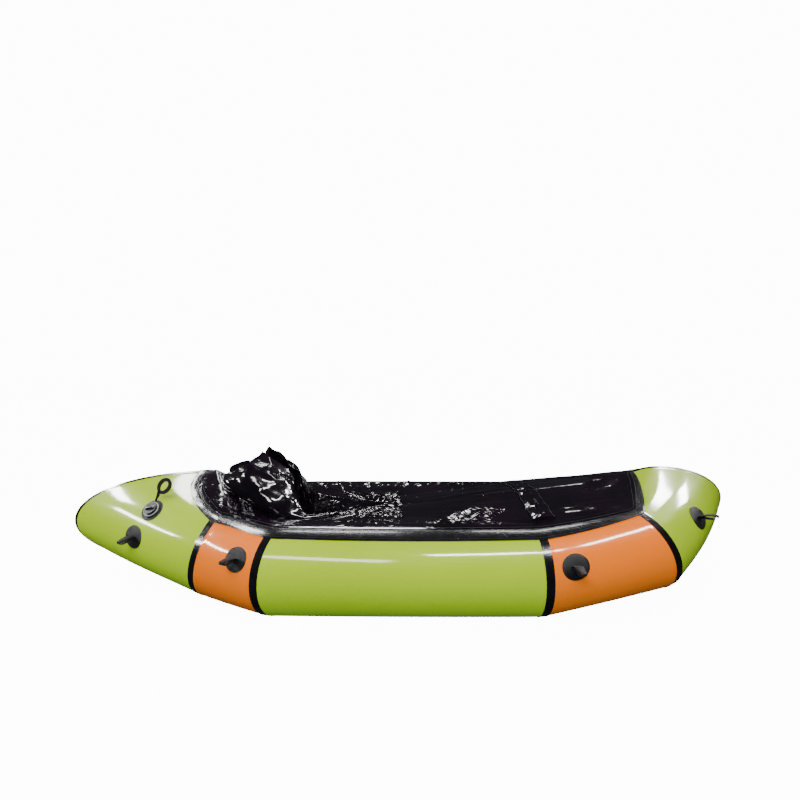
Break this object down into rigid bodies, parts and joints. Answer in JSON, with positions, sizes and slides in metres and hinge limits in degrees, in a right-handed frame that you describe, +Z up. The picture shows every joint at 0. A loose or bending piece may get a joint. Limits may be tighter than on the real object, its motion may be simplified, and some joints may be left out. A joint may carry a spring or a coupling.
{
  "type": "packraft",
  "caption": "Decked packraft, 2.45 m, ten-panel inflated ring with taped seams, deck with V hatch and let-down spray skirt, seat, screw valve, cargo zip and eight webbing loops",
  "frame": {"origin": "bounding box bottom centre of the boat on the ground", "axes": "+X to the bow, +Y to port, +Z up"},
  "size_m": [2.4536, 1.059, 0.56],
  "materials": {
    "lime_fabric": "satin coated fabric",
    "orange_fabric": "satin coated fabric",
    "seam_tape": "glossy welded tape",
    "deck_film": "glossy crinkled coated fabric",
    "grey_fabric": "matt coated fabric",
    "webbing": "woven webbing",
    "rubber": "soft satin",
    "light_plastic": "moulded",
    "black_plastic": "moulded"
  },
  "bodies": {
    "hull": {"deck_skin": "deck_film", "deck_sleeve": "deck_film", "floor_sheet": "grey_fabric", "patch_aft_port": "grey_fabric", "patch_aft_starboard": "grey_fabric", "patch_bow_port": "grey_fabric", "patch_bow_starboard": "grey_fabric", "patch_fore_port": "grey_fabric", "patch_fore_starboard": "grey_fabric", "patch_stern_port": "grey_fabric", "patch_stern_starboard": "grey_fabric", "rim_band": "deck_film", "seat_cushion": "grey_fabric", "seat_strap": "webbing", "seat_valve_stem": "black_plastic", "sleeve_batten": "black_plastic", "spray_skirt": "deck_film", "tape_aft_port": "seam_tape", "tape_aft_starboard": "seam_tape", "tape_bow_centre": "seam_tape", "tape_bow_port": "seam_tape", "tape_bow_starboard": "seam_tape", "tape_fore_port": "seam_tape", "tape_fore_starboard": "seam_tape", "tape_stern_centre": "seam_tape", "tape_stern_port": "seam_tape", "tape_stern_starboard": "seam_tape", "tube_aft_quarter_port": "orange_fabric", "tube_aft_quarter_starboard": "orange_fabric", "tube_bow_port": "lime_fabric", "tube_bow_starboard": "lime_fabric", "tube_fore_quarter_port": "orange_fabric", "tube_fore_quarter_starboard": "orange_fabric", "tube_side_port": "lime_fabric", "tube_side_starboard": "lime_fabric", "tube_stern_port": "lime_fabric", "tube_stern_starboard": "lime_fabric", "valve_body": "light_plastic", "valve_flange": "rubber", "zip_chain": "black_plastic", "zip_dock": "light_plastic", "zip_strip": "deck_film"},
    "deck_pull_tab": {"deck_pull_tab": "webbing"},
    "valve_gasket_carrier": {"valve_gasket": "rubber"},
    "valve_plug_screw": {"valve_plug": "black_plastic"},
    "leash": {"valve_leash": "rubber"},
    "slider": {"zip_slider": "black_plastic"},
    "slider_pull": {"zip_pull": "black_plastic"},
    "backrest": {"seat_backrest": "grey_fabric"},
    "seat_cap": {"seat_valve_cap": "light_plastic"},
    "loop_aft_port_body": {"loop_aft_port": "webbing"},
    "loop_aft_starboard_body": {"loop_aft_starboard": "webbing"},
    "loop_bow_port_body": {"loop_bow_port": "webbing"},
    "loop_bow_starboard_body": {"loop_bow_starboard": "webbing"},
    "loop_fore_port_body": {"loop_fore_port": "webbing"},
    "loop_fore_starboard_body": {"loop_fore_starboard": "webbing"},
    "loop_stern_port_body": {"loop_stern_port": "webbing"},
    "loop_stern_starboard_body": {"loop_stern_starboard": "webbing"}
  },
  "joints": [
    {"name": "loop_aft_port_swing", "type": "hinge", "parent": "hull", "child": "loop_aft_port_body", "pos_m": [-0.478, 0.42989, 0.22478], "axis": [-0.8765, -0.4814, 0], "range_deg": [-60, 60], "stiffness_Nm_per_rad": 0.002},
    {"name": "loop_aft_starboard_swing", "type": "hinge", "parent": "hull", "child": "loop_aft_starboard_body", "pos_m": [-0.478, -0.42989, 0.22478], "axis": [0.8765, -0.4814, 0], "range_deg": [-60, 60], "stiffness_Nm_per_rad": 0.002},
    {"name": "loop_bow_port_swing", "type": "hinge", "parent": "hull", "child": "loop_bow_port_body", "pos_m": [1.02245, 0.25283, 0.3034], "axis": [-0.7511, 0.6602, 0], "range_deg": [-60, 60], "stiffness_Nm_per_rad": 0.002},
    {"name": "loop_bow_starboard_swing", "type": "hinge", "parent": "hull", "child": "loop_bow_starboard_body", "pos_m": [1.02245, -0.25283, 0.3034], "axis": [0.7511, 0.6602, 0], "range_deg": [-60, 60], "stiffness_Nm_per_rad": 0.002},
    {"name": "loop_fore_port_swing", "type": "hinge", "parent": "hull", "child": "loop_fore_port_body", "pos_m": [0.56428, 0.4709, 0.20975], "axis": [-0.9941, 0.1081, 0], "range_deg": [-60, 60], "stiffness_Nm_per_rad": 0.002},
    {"name": "loop_fore_starboard_swing", "type": "hinge", "parent": "hull", "child": "loop_fore_starboard_body", "pos_m": [0.56428, -0.4709, 0.20975], "axis": [0.9941, 0.1081, 0], "range_deg": [-60, 60], "stiffness_Nm_per_rad": 0.002},
    {"name": "loop_stern_port_swing", "type": "hinge", "parent": "hull", "child": "loop_stern_port_body", "pos_m": [-0.91904, 0.19672, 0.16369], "axis": [-0.8538, -0.5206, 0], "range_deg": [-60, 60], "stiffness_Nm_per_rad": 0.002},
    {"name": "loop_stern_starboard_swing", "type": "hinge", "parent": "hull", "child": "loop_stern_starboard_body", "pos_m": [-0.90751, -0.19893, 0.22886], "axis": [0.8775, -0.4796, 0], "range_deg": [-60, 60], "stiffness_Nm_per_rad": 0.002},
    {"name": "deck_pull_tab_lift", "type": "hinge", "parent": "hull", "child": "deck_pull_tab", "pos_m": [-0.39125, 0.35764, 0.31053], "axis": [-0.5657, 0.7851, -0.2524], "range_deg": [0, 150], "stiffness_Nm_per_rad": 0.001},
    {"name": "valve_leash_swing", "type": "hinge", "parent": "hull", "child": "leash", "pos_m": [-0.83481, -0.13789, 0.34387], "axis": [0.8097, -0.3072, -0.5], "range_deg": [-35, 60], "stiffness_Nm_per_rad": 0.002},
    {"name": "valve_plug_lift", "type": "slide", "parent": "hull", "child": "valve_gasket_carrier", "axis": [-0.267, -0.626, 0.7327], "range_m": [0, 0.02]},
    {"name": "valve_plug_turn", "type": "hinge", "parent": "valve_gasket_carrier", "child": "valve_plug_screw", "pos_m": [-0.84029, -0.16486, 0.31643], "axis": [-0.267, -0.626, 0.7327], "range_deg": [0, 720]},
    {"name": "zip_slider_run", "type": "hinge", "parent": "hull", "child": "slider", "pos_m": [-0.73904, -0.34647, 0.19533], "axis": [-0.2827, -0.2329, 0.9305], "range_deg": [0, 5.1]},
    {"name": "zip_pull_swing", "type": "hinge", "parent": "slider", "child": "slider_pull", "pos_m": [-0.8118, 0.19456, 0.31526], "axis": [0.1509, 0.7641, -0.6272], "range_deg": [0, 150]},
    {"name": "seat_backrest_fold", "type": "hinge", "parent": "hull", "child": "backrest", "pos_m": [-0.355, 0, 0.09344], "axis": [0, 1, 0], "range_deg": [0, 75]},
    {"name": "seat_cap_turn", "type": "hinge", "parent": "hull", "child": "seat_cap", "pos_m": [-0.262, 0.10513, 0.09074], "axis": [0, 0, 1], "range_deg": [0, 90]}
  ],
  "couplings": [
    {"joint": "valve_plug_turn", "follows": "valve_plug_lift", "rad_per_m": 628.32}
  ]
}
